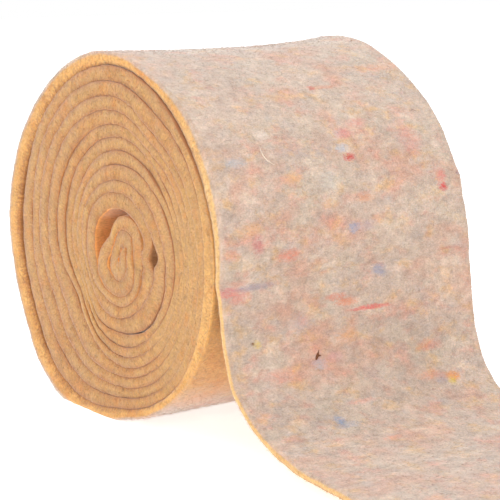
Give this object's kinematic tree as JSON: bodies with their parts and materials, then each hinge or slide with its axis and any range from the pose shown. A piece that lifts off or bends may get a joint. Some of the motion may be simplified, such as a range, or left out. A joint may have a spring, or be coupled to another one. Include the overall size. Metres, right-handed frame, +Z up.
{
  "type": "roll of felt",
  "caption": "Strip of thick two-tone wool felt wound into a roll that lies on its side, its outer end unrolled onto the surface.",
  "frame": {"origin": "on the surface, under the middle of the whole part: the roll and its loose end together", "axes": "+X from the roll towards the cut end of the loose end, +Y along the roll from its near end to its far end, +Z up"},
  "size_m": [0.3476, 0.1518, 0.1842],
  "materials": {
    "felt": "soft fuzzy wool felt, cream on the outer face and yellow-orange on the cut edges and the back"
  },
  "bodies": {
    "root": {"felt": "felt"}
  },
  "joints": []
}
